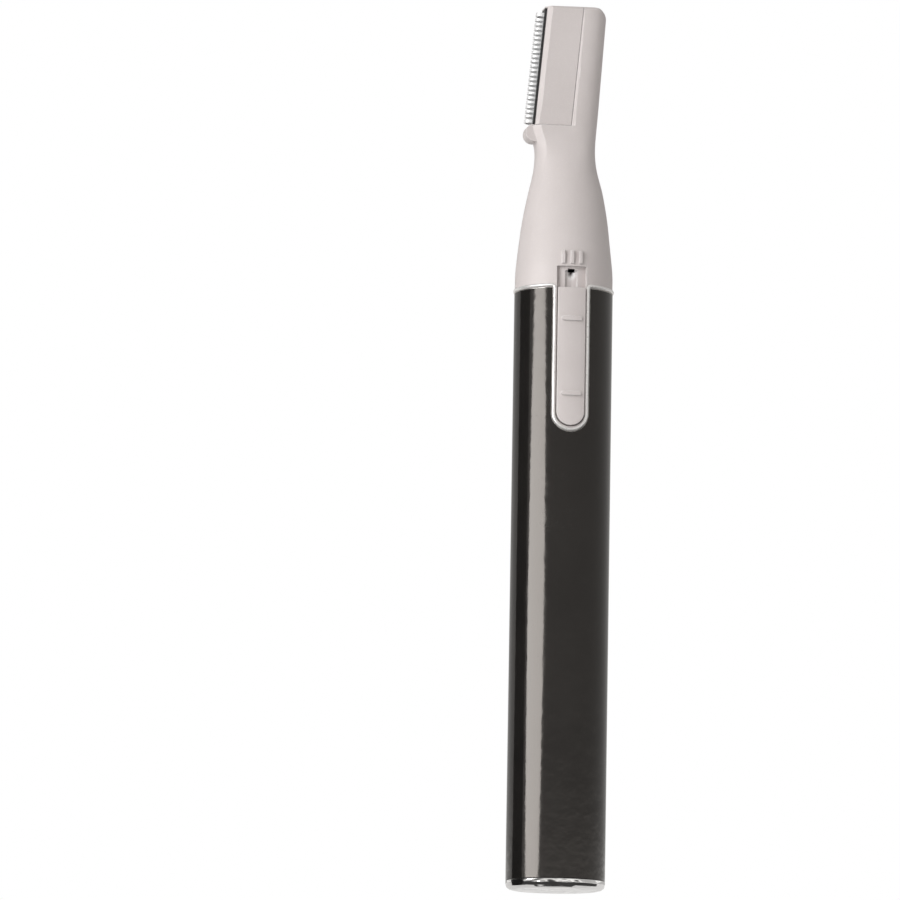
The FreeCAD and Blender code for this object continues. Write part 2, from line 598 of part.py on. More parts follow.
shell_base = cut("shell_base", cut("shell_faced", fuse("shell_whole", head_solid, skirt), panel_cut), neck_cavity)
shell_bay = cut("shell_bay", shell_base, blade_bay)
shell_full = cut("shell_full", shell_bay, ycyl("pivot_hole", d("pivot_radius"), PX, -4.7, 4.7, PZ))

# Cover plate over the blade on the front of the head.
cover_zone = common("cover_zone", head_box("cover_slab", -4.9, 0.75, -5.0, -1.52, -1.0, 25), box("cover_limit", -12, 12, -9, 9, 121.3, 150))
cover_recess = common("cover_recess", head_box("recess_slab", -9.5, 0.81, -5.2, -1.48, -1.0, 25), box("recess_limit", -12, 12, -9, 9, 121.24, 150))
cover = common("cover", shell_full, cover_zone)
node(cover, "blade_cover")

# Front shell: neck front, head front edge and the tongue that carries the switch.
tongue_blank = cut("tongue_blank", cyl("tongue_outer", d("tongue_radius"), d("slot_end"), d("tube_high") + d("seat_gap")),
                   cyl("tongue_bore", d("tongue_inner"), 60, 99))
tongue_shape = fuse("tongue_shape", box("tongue_box", -d("tongue_half"), d("tongue_half"), -9, -4, d("slot_end") + d("slot_half"), 99),
                    ycyl("tongue_round", d("tongue_half"), 0, -9, -4, d("slot_end") + d("slot_half")))
tongue = common("tongue", tongue_blank, tongue_shape)
track = cut("track", fuse("track_plan", box("track_box", -d("track_half"), d("track_half"), -9, -4, d("track_low") + d("track_half"), d("track_high")),
                          ycyl("track_round", d("track_half"), 0, -9, -4, d("track_low") + d("track_half"))),
            cyl("track_floor", d("track_radius"), 60, 110))
front_half = common("front_half", shell_full, box("front_space", -12, 12, -12, 0, 80, 150))
mark_bars = common("mark_bars", fuse("mark_bar_set", *[box("mark_bar_%d" % i, x - 0.25, x + 0.25, -9, -6.9, 98.3, 100.4)
                   for i, x in enumerate((-1.4, 0.0, 1.4))]), cyl("mark_limit", 7.92, 90, 110))
front = cut("front", fuse("front_whole", cut("front_plain", front_half, cover_recess), tongue, mark_bars), track,
            box("track_groove", -0.95, 0.95, -7.2, -6.55, 94.0, 97.3), box("track_hole", -0.55, 0.55, -9, -5, 97.0, 97.55),
            box("stem_slot", -1.05, 1.05, -9, -4, 73.9, 82.2), box("mark_clear", -3, 3, -6.35, -5.0, 98, 101))
node(front, "head_front_shell")
back = common("back", shell_full, box("back_space", -12, 12, 0, 12, 80, 150))
node(back, "head_back_shell")

# Rocker pin through both bosses.
pin = ycyl("pin", d("pivot_radius") - 0.01, PX, -4.6, 4.6, PZ)
node(pin, "rocker_pin")

# Blade holder: black moulding that grips the comb blade.
holder = in_head(cut("holder", box("holder_blank", -5.25, -1.0, -1.45, 1.45, 0.06, 18.9),
                     box("holder_room", -9, -1.15, -0.98, 0.98, -1, 18.45), box("holder_rod", -3.1, -1.3, -0.75, 0.75, -1, 1)))
node(holder, "blade_holder")

# Comb blade: steel sheet folded over the cutter, slots cut through the fold.
comb = new_body("comb_body")
comb_profile = sketch(comb, "comb_profile", "XY_Plane", d("blade_low"))
cx, ro, ri = d("comb_centre"), d("comb_fold"), d("comb_fold") - d("comb_thick")
back_x = d("comb_back")
g0 = comb_profile.addGeometry(Part.LineSegment(Vector(back_x.value, ro.value, 0), Vector(cx.value, ro.value, 0)))
g1 = comb_profile.addGeometry(Part.ArcOfCircle(Part.Circle(Vector(cx.value, 0, 0), Vector(0, 0, 1), ro.value), math.pi / 2, 3 * math.pi / 2))
g2 = comb_profile.addGeometry(Part.LineSegment(Vector(cx.value, -ro.value, 0), Vector(back_x.value, -ro.value, 0)))
g3 = comb_profile.addGeometry(Part.LineSegment(Vector(back_x.value, -ro.value, 0), Vector(back_x.value, -ri.value, 0)))
g4 = comb_profile.addGeometry(Part.LineSegment(Vector(back_x.value, -ri.value, 0), Vector(cx.value, -ri.value, 0)))
g5 = comb_profile.addGeometry(Part.ArcOfCircle(Part.Circle(Vector(cx.value, 0, 0), Vector(0, 0, 1), ri.value), math.pi / 2, 3 * math.pi / 2))
g6 = comb_profile.addGeometry(Part.LineSegment(Vector(cx.value, ri.value, 0), Vector(back_x.value, ri.value, 0)))
g7 = comb_profile.addGeometry(Part.LineSegment(Vector(back_x.value, ri.value, 0), Vector(back_x.value, ro.value, 0)))
for a, ap, b, bp in ((g0, 2, g1, 1), (g1, 2, g2, 1), (g2, 2, g3, 1), (g3, 2, g4, 1), (g4, 2, g5, 2), (g5, 1, g6, 1), (g6, 2, g7, 1), (g7, 2, g0, 1)):
    comb_profile.addConstraint(Sketcher.Constraint("Coincident", a, ap, b, bp))
pin_point(comb_profile, g1, 3, cx, 0)
comb_profile.addConstraint(Sketcher.Constraint("Coincident", g1, 3, g5, 3))
for g, p, x, y in ((g0, 1, back_x, ro), (g0, 2, cx, ro), (g3, 1, back_x, -ro), (g4, 1, back_x, -ri), (g6, 1, cx, ri), (g7, 1, back_x, ri)):
    pin_point(comb_profile, g, p, x, y)
for g, p in ((g2, 1), (g4, 2)):
    n = comb_profile.addConstraint(Sketcher.Constraint("DistanceX", -1, 1, g, p, cx.value))
    comb_profile.setExpression("Constraints[%d]" % n, cx.text)
pad(comb, comb_profile, d("blade_length"), "comb_pad")
comb_slot = sketch(comb, "comb_slot", "XZ_Plane")
first_slot = d("blade_low") + 0.55
polygon(comb_slot, [(-7.2, first_slot), (-5.2, first_slot), (-5.2, first_slot + d("tooth_slot")), (-7.2, first_slot + d("tooth_slot"))])
comb_cut = pocket(comb, comb_slot, "comb_slot_cut", length=4, midplane=True)
comb_rows = comb.newObject("PartDesign::LinearPattern", "comb_teeth")
comb_rows.Originals = [comb_cut]
comb_rows.Direction = (comb_slot, ["V_Axis"])
comb_rows.setExpression("Length", (22 * d("tooth_pitch")).text)
comb_rows.Occurrences = 23
comb.Tip = comb_rows
in_head(comb)
node(comb, "comb_blade")

# Moving cutter inside the fold.
cutter = new_body("cutter_body")
cutter_profile = sketch(cutter, "cutter_profile", "XZ_Plane")
low, high = d("blade_low") + 0.85, d("blade_low") + d("blade_length") - 0.85
polygon(cutter_profile, [(d("cutter_tip"), low), (d("cutter_back"), low), (d("cutter_back"), high), (d("cutter_tip"), high)])
pad(cutter, cutter_profile, d("cutter_thick"), "cutter_pad", midplane=True)
cutter_slot = sketch(cutter, "cutter_slot", "XZ_Plane")
polygon(cutter_slot, [(-7.2, low + 0.35), (-5.2, low + 0.35), (-5.2, low + 0.75), (-7.2, low + 0.75)])
cutter_cut = pocket(cutter, cutter_slot, "cutter_slot_cut", length=4, midplane=True)
cutter_rows = cutter.newObject("PartDesign::LinearPattern", "cutter_teeth")
cutter_rows.Originals = [cutter_cut]
cutter_rows.Direction = (cutter_slot, ["V_Axis"])
cutter_rows.setExpression("Length", (20 * d("tooth_pitch")).text)
cutter_rows.Occurrences = 21
cutter.Tip = cutter_rows
in_head(cutter)
node(cutter, "cutter_blade")

# Cutter carrier: a bar behind the cutter with a long drive rod and a C-shaped foot.
rod_x, nose_z = d("rod_x"), d("nose_z")
carrier = in_head(cut("carrier", fuse("carrier_whole", box("carrier_bar", d("cutter_back"), -1.9, -0.6, 0.6, 1.8, 17.2),
                      box("carrier_rod", rod_x - 0.6, rod_x + 0.6, -0.5, 0.5, nose_z + 1.0, 2.2),
                      box("carrier_foot", rod_x - 1.0, rod_x + 1.0, -0.6, 0.6, nose_z - 1.5, nose_z + 1.5)),
                      box("carrier_mouth", rod_x - 0.72, rod_x + 2, -1, 1, nose_z - d("nose_radius") - 0.05, nose_z + d("nose_radius") + 0.05)))
node(carrier, "cutter_carrier")
leaf = in_head(fuse("leaf", box("leaf_strip", -5.0, -3.3, 0.47, 0.66, 2.0, 16.6), box("leaf_pad_a", -5.0, -3.3, 0.30, 0.50, 4.0, 5.2),
               box("leaf_pad_b", -5.0, -3.3, 0.30, 0.50, 13.4, 14.6)))
node(leaf, "tension_spring")

# ------------------------------------------------------------------ rocker
# Bell crank: fork over the crank pin, nose in the carrier's foot.
fork_x0, fork_x1 = -d("fork_half"), d("fork_half")
arm = in_head(fuse("rocker_arm_nose", box("rocker_arm_bar", rod_x, rod_x + d("rocker_arm"), -0.6, 0.6, nose_z - 0.45, nose_z + 0.45),
              ycyl("rocker_nose_pin", d("nose_radius"), rod_x, -0.6, 0.6, nose_z)))
hub = ycyl("rocker_hub", 1.7, PX, -d("rocker_half"), d("rocker_half"), PZ)
leg = box("rocker_leg", PX - 0.9, PX + 0.9, -d("rocker_half"), d("rocker_half"), 97.2, PZ)
yoke = box("rocker_yoke", fork_x0 - 0.9, fork_x1 + 0.9, -d("rocker_half"), d("rocker_half"), 96.3, 97.6)
tine_a = box("rocker_tine_a", fork_x0 - 0.9, fork_x0, -d("rocker_half"), d("rocker_half"), 92.9, 96.4)
tine_b = box("rocker_tine_b", fork_x1, fork_x1 + 0.9, -d("rocker_half"), d("rocker_half"), 92.9, 96.4)
rocker = cut("rocker_crank", fuse("rocker_whole", arm, hub, leg, yoke, tine_a, tine_b), ycyl("rocker_bore", d("pivot_radius") + d("pivot_gap"), PX, -5, 5, PZ))
node(rocker, "rocker_lever")

# ------------------------------------------------------------------ switch
slider_plan = fuse("slider_plan", box("slider_box", -d("slider_half"), d("slider_half"), -12, -4, d("slider_low") + d("slider_half"), d("slider_high")),
                   ycyl("slider_round", d("slider_half"), 0, -12, -4, d("slider_low") + d("slider_half")))
slider_skin = cut("slider_skin", cyl("slider_outer", d("slider_radius"), 60, 99), cyl("slider_inner", d("track_radius") + 0.08, 59, 100))
slider_plate = common("slider_plate", slider_skin, slider_plan)
rib_skin = cut("rib_skin", cyl("rib_outer", d("slider_radius") + 0.35, 60, 99), cyl("rib_inner", 7.4, 59, 100))
rib_plan = fuse("rib_plan", *[p for i, zc in enumerate((d("rib_high_z"), d("rib_low_z"))) for p in (
    box("rib_bar_%d" % i, -1.25, 1.25, -12, -4, zc - 0.35, zc + 0.35), ycyl("rib_end_a_%d" % i, 0.35, -1.25, -12, -4, zc),
    ycyl("rib_end_b_%d" % i, 0.35, 1.25, -12, -4, zc))])
ribs = common("ribs", rib_skin, rib_plan)
slider = fuse("slider", slider_plate, ribs, box("slider_stem", -0.9, 0.9, -7.5, -5.95, 74.6, 78.4))
node(slider, "switch_slider")
wiper = fuse("wiper", box("wiper_pad", -1.3, 1.3, -5.95, -5.75, 74.0, 79.0), box("wiper_dimple", -1.0, 1.0, -5.80, -5.62, 74.2, 74.7),
             box("wiper_dimple_top", -1.0, 1.0, -5.80, -5.62, 78.3, 78.8))
node(wiper, "switch_wiper")

# ------------------------------------------------------------------ check and write
doc.recompute()
bad = [o.Name for o in doc.Objects if "Invalid" in o.State or "Error" in o.State]
if bad:
    raise RuntimeError("failed objects: " + ", ".join(bad))
os.makedirs("parts", exist_ok=True)
for obj in nodes:
    shape = obj.Shape
    if shape.isNull() or not shape.isValid():
        raise RuntimeError("bad shape: " + obj.Label)
    b = shape.BoundBox
    print("%-22s solids %d volume %8.2f  x %.2f..%.2f y %.2f..%.2f z %.2f..%.2f" % (
        obj.Label, len(shape.Solids), shape.Volume, b.XMin, b.XMax, b.YMin, b.YMax, b.ZMin, b.ZMax))
    if not shape.Solids:
        raise RuntimeError("no solid: " + obj.Label)
    shape.exportStep("parts/" + obj.Label + ".step")
print("pivot", round(pivot_x, 4), round(pivot_z, 4), "nodes", len(nodes))
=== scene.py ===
import bpy
import bmesh
import json
import math
from mathutils import Matrix, Vector


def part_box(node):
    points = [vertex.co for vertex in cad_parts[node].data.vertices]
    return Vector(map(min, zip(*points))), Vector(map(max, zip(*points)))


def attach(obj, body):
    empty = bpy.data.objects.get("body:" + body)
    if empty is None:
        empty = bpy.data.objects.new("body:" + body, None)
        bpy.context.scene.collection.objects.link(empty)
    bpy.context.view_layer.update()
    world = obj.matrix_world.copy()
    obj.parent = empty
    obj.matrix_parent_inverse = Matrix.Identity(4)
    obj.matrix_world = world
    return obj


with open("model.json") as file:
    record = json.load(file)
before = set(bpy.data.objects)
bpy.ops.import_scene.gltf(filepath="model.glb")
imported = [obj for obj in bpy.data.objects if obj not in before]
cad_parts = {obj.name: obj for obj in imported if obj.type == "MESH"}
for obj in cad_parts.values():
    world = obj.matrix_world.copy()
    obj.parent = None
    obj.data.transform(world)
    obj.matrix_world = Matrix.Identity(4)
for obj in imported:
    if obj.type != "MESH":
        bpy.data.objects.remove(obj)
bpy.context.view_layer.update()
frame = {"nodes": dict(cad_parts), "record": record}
scene = bpy.context.scene
nodes = frame["nodes"]
record = frame["record"]
slot_of = {s["node"]: s["material_slot"] for s in record["subparts"]}
body_of = {n: b for b, members in record["behaviour"]["bodies"].items() for n in members}
MM = 0.001
LEAN = math.radians(5.3)


# ---------------------------------------------------------------- material helpers
class Graph:
    """A thin wrapper that makes node trees short to write."""

    def __init__(self, name):
        self.mat = bpy.data.materials.new(name)
        self.mat.use_nodes = True
        self.t = self.mat.node_tree
        self.t.nodes.clear()
        self.out = self.t.nodes.new("ShaderNodeOutputMaterial")
        self.bsdf = self.t.nodes.new("ShaderNodeBsdfPrincipled")
        self.t.links.new(self.bsdf.outputs[0], self.out.inputs[0])
        self.coord = self.t.nodes.new("ShaderNodeTexCoord").outputs["Object"]

    def put(self, socket, value):
        if value is None:
            return
        if isinstance(value, bpy.types.NodeSocket):
            self.t.links.new(value, socket)
        else:
            socket.default_value = value

    def math(self, op, a, b=None, c=None, clamp=False):
        n = self.t.nodes.new("ShaderNodeMath")
        n.operation = op
        n.use_clamp = clamp
        for s, v in zip(n.inputs, (a, b, c)):
            self.put(s, v)
        return n.outputs[0]

    def step(self, value, lo, hi, to_lo=0.0, to_hi=1.0):
        n = self.t.nodes.new("ShaderNodeMapRange")
        n.interpolation_type = "SMOOTHSTEP"
        for k, v in (("Value", value), ("From Min", lo), ("From Max", hi), ("To Min", to_lo), ("To Max", to_hi)):
            self.put(n.inputs[k], v)
        return n.outputs["Result"]

    def stretch(self, scale=(1, 1, 1), rotation=(0, 0, 0)):
        n = self.t.nodes.new("ShaderNodeMapping")
        n.inputs["Scale"].default_value = scale
        n.inputs["Rotation"].default_value = rotation
        self.t.links.new(self.coord, n.inputs["Vector"])
        return n.outputs[0]

    def noise(self, scale, detail=3.0, rough=0.55, vector=None):
        n = self.t.nodes.new("ShaderNodeTexNoise")
        n.inputs["Scale"].default_value = scale
        n.inputs["Detail"].default_value = detail
        n.inputs["Roughness"].default_value = rough
        self.t.links.new(vector or self.coord, n.inputs["Vector"])
        return n.outputs["Fac"]

    def cells(self, scale, vector=None, feature="F1"):
        n = self.t.nodes.new("ShaderNodeTexVoronoi")
        n.feature = feature
        n.inputs["Scale"].default_value = scale
        self.t.links.new(vector or self.coord, n.inputs["Vector"])
        return n.outputs["Distance"]

    def wave(self, scale, axis="Z", distortion=0.0, profile="SIN", vector=None):
        n = self.t.nodes.new("ShaderNodeTexWave")
        n.wave_type = "BANDS"
        n.bands_direction = axis
        n.wave_profile = profile
        n.inputs["Scale"].default_value = scale
        n.inputs["Distortion"].default_value = distortion
        n.inputs["Detail"].default_value = 2.0
        self.t.links.new(vector or self.coord, n.inputs["Vector"])
        return n.outputs["Fac"]

    def ramp(self, fac, stops):
        n = self.t.nodes.new("ShaderNodeValToRGB")
        while len(n.color_ramp.elements) < len(stops):
            n.color_ramp.elements.new(0.5)
        for e, (pos, col) in zip(n.color_ramp.elements, stops):
            e.position = pos
            e.color = (*col, 1.0)
        self.put(n.inputs[0], fac)
        return n.outputs[0]

    def mix(self, fac, a, b, kind="RGBA", blend="MIX"):
        n = self.t.nodes.new("ShaderNodeMix")
        n.data_type = kind
        if kind == "RGBA":
            n.blend_type = blend
        ins = [s for s in n.inputs if s.enabled]
        outs = [s for s in n.outputs if s.enabled]
        self.put(ins[0], fac)
        for s, v in ((ins[1], a), (ins[2], b)):
            if kind == "RGBA" and isinstance(v, tuple) and len(v) == 3:
                v = (*v, 1.0)
            self.put(s, v)
        return outs[0]

    def xyz(self):
        n = self.t.nodes.new("ShaderNodeSeparateXYZ")
        self.t.links.new(self.coord, n.inputs[0])
        return n.outputs[0], n.outputs[1], n.outputs[2]

    def edge_mask(self, radius=0.00035, lo=0.02, hi=0.22):
        """1 along sharp outer and inner edges, from the difference between the rounded and the true normal."""
        b = self.t.nodes.new("ShaderNodeBevel")
        b.samples = 4
        b.inputs["Radius"].default_value = radius
        g = self.t.nodes.new("ShaderNodeNewGeometry")
        v = self.t.nodes.new("ShaderNodeVectorMath")
        v.operation = "DOT_PRODUCT"
        self.t.links.new(b.outputs[0], v.inputs[0])
        self.t.links.new(g.outputs["Normal"], v.inputs[1])
        return self.step(self.math("SUBTRACT", 1.0, v.outputs["Value"]), lo, hi)

    def bump(self, layers, soft_edge=None):
        """layers: (height socket, strength, distance in metres). soft_edge rounds the shading of sharp edges."""
        last = None
        if soft_edge:
            b = self.t.nodes.new("ShaderNodeBevel")
            b.samples = 6
            b.inputs["Radius"].default_value = soft_edge
            last = b.outputs[0]
        for height, strength, distance in layers:
            n = self.t.nodes.new("ShaderNodeBump")
            n.inputs["Strength"].default_value = strength
            n.inputs["Distance"].default_value = distance
            self.t.links.new(height, n.inputs["Height"])
            if last is not None:
                self.t.links.new(last, n.inputs["Normal"])
            last = n.outputs[0]
        if last is not None:
            self.t.links.new(last, self.bsdf.inputs["Normal"])

    def set(self, **values):
        for k, v in values.items():
            self.put(self.bsdf.inputs[k.replace("_", " ")], (*v, 1.0) if isinstance(v, tuple) and len(v) == 3 else v)


def black_lacquer():
    g = Graph("black_lacquer")
    x, y, z = g.xyz()
    cloud = g.noise(60, 3)
    dust = g.step(g.noise(5200, 2, 0.5), 0.70, 0.76)
    base = g.ramp(cloud, [(0.3, (0.0095, 0.0088, 0.0085)), (0.7, (0.0150, 0.0138, 0.0130))])
    base = g.mix(g.math("MULTIPLY", dust, 0.35), base, (0.06, 0.058, 0.056))
    # bare cut metal round the switch slot and at the tube's top rim
    below = g.math("MINIMUM", g.math("SUBTRACT", z, SLOT_CENTRE), 0.0)
    r = g.math("SQRT", g.math("ADD", g.math("MULTIPLY", x, x), g.math("MULTIPLY", below, below)))
    front = g.math("LESS_THAN", y, 0.0)
    wobble = g.math("MULTIPLY", g.math("SUBTRACT", g.noise(900, 2), 0.5), 0.00008)
    slot_edge = g.step(g.math("ADD", r, wobble), SLOT_HALF + 0.00002, SLOT_HALF + 0.00006, 1.0, 0.0)
    slot_edge = g.math("MULTIPLY", slot_edge, front)
    rim = g.step(g.math("ADD", z, wobble), TUBE_TOP - 0.00010, TUBE_TOP - 0.00004)
    bare = g.math("MAXIMUM", slot_edge, rim)
    metal = g.ramp(g.noise(3000, 2), [(0.3, (0.62, 0.60, 0.58)), (0.7, (0.80, 0.78, 0.75))])
    g.set(Base_Color=g.mix(bare, base, metal), Metallic=bare, IOR=1.5, Specular_Tint=(1.0, 0.93, 0.87))
    rough = g.step(g.noise(300, 4), 0.2, 0.8, 0.075, 0.125)
    g.set(Roughness=g.mix(bare, rough, 0.30, "FLOAT"))
    g.bump([(g.noise(420, 2), 0.05, 0.0004), (dust, 0.15, 0.00002)], soft_edge=0.00012)
    return g.mat


def chrome():
    g = Graph("chrome")
    stain = g.noise(220, 4, 0.6)
    base = g.ramp(stain, [(0.25, (0.66, 0.65, 0.64)), (0.55, (0.86, 0.855, 0.85)), (0.8, (0.92, 0.915, 0.91))])
    ring = g.wave(1900, "Z", 0.6)
    g.set(Base_Color=base, Metallic=1.0, Roughness=g.step(g.noise(900, 4), 0.25, 0.8, 0.05, 0.16))
    dents = g.noise(300, 1.0, vector=g.stretch((1, 1, 2.2)))
    g.bump([(dents, 0.8, 0.00050), (ring, 0.03, 0.00002)], soft_edge=0.00015)
    return g.mat


def silver_plastic():
    g = Graph("silver_plastic")
    cloud = g.noise(90, 3)
    flake = g.noise(9000, 2, 0.7)
    base = g.ramp(cloud, [(0.3, (0.590, 0.541, 0.531)), (0.7, (0.630, 0.582, 0.572))])
    base = g.mix(g.step(flake, 0.52, 0.72, 0.0, 0.40), base, (0.74, 0.70, 0.69))
    wear = g.math("MULTIPLY", g.edge_mask(0.0003), g.step(g.noise(1500, 3), 0.35, 0.65, 0.25, 0.85))
    base = g.mix(wear, base, (0.80, 0.79, 0.785))
    g.set(Base_Color=base, Metallic=0.04, IOR=1.42)
    g.set(Roughness=g.step(g.noise(500, 4), 0.2, 0.8, 0.44, 0.56))
    g.bump([(g.noise(6500, 3), 0.12, 0.00003), (g.noise(260, 2), 0.10, 0.00012)], soft_edge=0.00020)
    return g.mat


def plastic(name, dark, light, rough=(0.35, 0.5), grain=4500, depth=0.00004, soft=0.00015, **extra):
    g = Graph(name)
    base = g.ramp(g.noise(120, 3), [(0.3, dark), (0.7, light)])
    wear = g.math("MULTIPLY", g.edge_mask(0.00025), g.step(g.noise(1800, 3), 0.4, 0.7, 0.0, 0.5))
    base = g.mix(wear, base, tuple(min(1.0, c * 1.35 + 0.03) for c in light))
    flow = g.noise(900, 3, vector=g.stretch((1, 1, 0.15)))
    g.set(Base_Color=base, Roughness=g.step(g.noise(700, 4), 0.2, 0.8, rough[0], rough[1]), IOR=1.5)
    g.bump([(g.noise(grain, 3), 0.18, depth), (flow, 0.06, 0.00006)], soft_edge=soft)
    g.set(**extra)
    return g.mat


def steel(name, dark, light, rough=(0.18, 0.32), stretch=(1, 1, 0.04), scale=5200, depth=0.00002, soft=0.00008, metal=1.0):
    g = Graph(name)
    lines = g.noise(scale, 3, 0.6, vector=g.stretch(stretch))
    base = g.ramp(lines, [(0.3, dark), (0.7, light)])
    stain = g.step(g.noise(260, 4), 0.58, 0.75, 0.0, 0.25)
    base = g.mix(stain, base, tuple(c * 0.8 for c in dark))
    g.set(Base_Color=base, Metallic=metal, Roughness=g.step(lines, 0.2, 0.8, rough[0], rough[1]))
    g.bump([(lines, 0.22, depth)], soft_edge=soft)
    return g.mat


def cell_jacket():
    g = Graph("cell_jacket")
    x, y, z = g.xyz()
    lo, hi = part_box("battery_can")
    band = g.step(z, hi.z - 0.0130, hi.z - 0.0128)
    body = g.ramp(g.noise(150, 3), [(0.3, (0.030, 0.045, 0.075)), (0.7, (0.040, 0.058, 0.092))])
    top = g.ramp(g.noise(400, 3), [(0.3, (0.52, 0.34, 0.20)), (0.7, (0.62, 0.42, 0.26))])
    seam = g.step(g.math("ABSOLUTE", x), 0.00012, 0.00018, 1.0, 0.0)
    base = g.mix(band, body, top)
    base = g.mix(g.math("MULTIPLY", seam, 0.4), base, (0.3, 0.3, 0.3))
    g.set(Base_Color=base, Metallic=g.math("MULTIPLY", band, 0.6), Roughness=g.step(g.noise(600, 3), 0.2, 0.8, 0.22, 0.34), IOR=1.5)
    g.bump([(g.noise(700, 3), 0.1, 0.00008)], soft_edge=0.0001)
    return g.mat


def enamelled_copper():
    g = Graph("copper")
    turns_and_groove_shade = g.wave(2300, "Z", 1.2)
    # the ramp darkens the copper into each groove between turns: painted shade between the wire turns; the same bands
    # give the turns' bump
    base = g.ramp(turns_and_groove_shade, [(0.1, (0.26, 0.075, 0.022)), (0.6, (0.62, 0.24, 0.08)), (0.95, (0.80, 0.40, 0.18))])
    g.set(Base_Color=base, Metallic=0.85, Roughness=g.step(g.noise(1500, 3), 0.2, 0.8, 0.2, 0.36), IOR=1.5)
    g.bump([(turns_and_groove_shade, 0.6, 0.00012)])
    return g.mat


_, tube_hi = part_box("barrel_tube")
slot_lo, slot_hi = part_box("switch_slider")
TUBE_TOP = tube_hi.z
SLOT_HALF = 0.00297
SLOT_CENTRE = 0.07452

MATERIALS = {
    "black_lacquer": black_lacquer(),
    "chrome": chrome(),
    "silver_plastic": silver_plastic(),
    "black_plastic": plastic("black_plastic", (0.012, 0.012, 0.013), (0.022, 0.022, 0.023), (0.3, 0.45)),
    "inner_plastic": plastic("inner_plastic", (0.070, 0.071, 0.076), (0.105, 0.106, 0.112), (0.4, 0.55)),
    "white_plastic": plastic("white_plastic", (0.76, 0.75, 0.71), (0.86, 0.85, 0.81), (0.28, 0.42), Subsurface_Weight=0.15, Subsurface_Scale=0.0006),
    "blade_steel": steel("blade_steel", (0.66, 0.66, 0.67), (0.82, 0.82, 0.83), (0.20, 0.34)),
    "comb_steel": steel("comb_steel", (0.88, 0.88, 0.885), (0.96, 0.96, 0.965), (0.30, 0.42), (0.3, 1, 1), 6000, metal=0.4),
    "plated_steel": steel("plated_steel", (0.62, 0.60, 0.55), (0.78, 0.76, 0.70), (0.16, 0.28), (1, 1, 1), 2600),
    "motor_steel": steel("motor_steel", (0.46, 0.46, 0.47), (0.64, 0.64, 0.65), (0.26, 0.42), (1, 1, 0.2), 2600),
    "brass": steel("brass", (0.62, 0.44, 0.17), (0.78, 0.60, 0.28), (0.18, 0.34), (1, 1, 1), 2600),
    "copper": enamelled_copper(),
    "magnet": plastic("magnet", (0.035, 0.035, 0.038), (0.06, 0.06, 0.063), (0.5, 0.7), 2600, 0.00008),
    "cell_jacket": cell_jacket(),
}
LOOK = {"comb_blade": "comb_steel", "cutter_blade": "comb_steel"}
for name, ob in nodes.items():
    mat = MATERIALS[LOOK.get(name, slot_of[name])]
    if not ob.material_slots:
        ob.data.materials.append(mat)
    for s in ob.material_slots:
        s.material = mat


def polished_trim():
    g = Graph("polished_trim")
    lines = g.noise(3800, 3, 0.6)
    base = g.ramp(lines, [(0.3, (0.78, 0.765, 0.75)), (0.7, (0.90, 0.885, 0.87))])
    worn = g.math("MULTIPLY", g.edge_mask(0.0002), g.step(g.noise(1400, 3), 0.4, 0.7, 0.0, 0.4))
    g.set(Base_Color=g.mix(worn, base, (0.66, 0.65, 0.64)), Metallic=0.55, Roughness=g.step(lines, 0.2, 0.8, 0.26, 0.38), IOR=1.5)
    g.bump([(lines, 0.12, 0.00002)])
    return g.mat


# ---------------------------------------------------------------- stage
def mesh_object(name, verts, faces, mat=None):
    me = bpy.data.meshes.new(name)
    me.from_pydata(verts, [], faces)
    me.update()
    ob = bpy.data.objects.new(name, me)
    scene.collection.objects.link(ob)
    if mat:
        me.materials.append(mat)
    return ob


def floor_material():
    g = Graph("floor_paper")
    base = g.ramp(g.noise(14, 4), [(0.3, (0.83, 0.83, 0.825)), (0.7, (0.86, 0.86, 0.855))])
    g.set(Base_Color=base, Roughness=0.85)
    g.bump([(g.noise(900, 3), 0.05, 0.0001)])
    see = g.t.nodes.new("ShaderNodeBsdfTransparent")
    geo = g.t.nodes.new("ShaderNodeNewGeometry")
    mix = g.t.nodes.new("ShaderNodeMixShader")
    g.t.links.new(geo.outputs["Backfacing"], mix.inputs[0])
    g.t.links.new(g.bsdf.outputs[0], mix.inputs[1])
    g.t.links.new(see.outputs[0], mix.inputs[2])
    g.t.links.new(mix.outputs[0], g.out.inputs[0])
    return g.mat


# ---------------------------------------------------------------- the bright bead round the neck's foot and the switch slot
def bead_path():
    """Closed line: round the neck's foot, down one side of the slot, round its end and up the other. Points are (side, height) on the barrel."""
    half, foot, end, corner = 2.62, 94.86, SLOT_CENTRE / MM, 0.55
    turn = math.asin(half / 7.72)
    pts = []
    # down the right side, starting under its top corner
    n = 60
    for i in range(n + 1):
        z = foot - corner + (end - (foot - corner)) * i / n
        pts.append((half, z))
    n = 36
    for i in range(1, n):
        a = math.pi * i / n
        pts.append((half * math.cos(a), end - half * math.sin(a)))
    n = 60
    for i in range(n + 1):
        z = end + (foot - corner - end) * i / n
        pts.append((-half, z))
    on_barrel = [(x, -math.sqrt(max(0.0, 7.72 ** 2 - x * x)), z) for x, z in pts]
    # corner at the left, the long way round the back, and the corner at the right
    for i in range(1, 6):
        a = math.pi / 2 * i / 6
        x = -half - corner * (1 - math.cos(a))
        z = foot - corner + corner * math.sin(a)
        on_barrel.append((x, -math.sqrt(7.72 ** 2 - x * x), z))
    start = math.asin((half + corner) / 7.72)
    n = 150
    for i in range(n + 1):
        a = start + (2 * math.pi - 2 * start) * i / n
        on_barrel.append((-7.72 * math.sin(a), -7.72 * math.cos(a), foot))
    for i in range(5, 0, -1):
        a = math.pi / 2 * i / 6
        x = half + corner * (1 - math.cos(a))
        z = foot - corner + corner * math.sin(a)
        on_barrel.append((x, -math.sqrt(7.72 ** 2 - x * x), z))
    return on_barrel


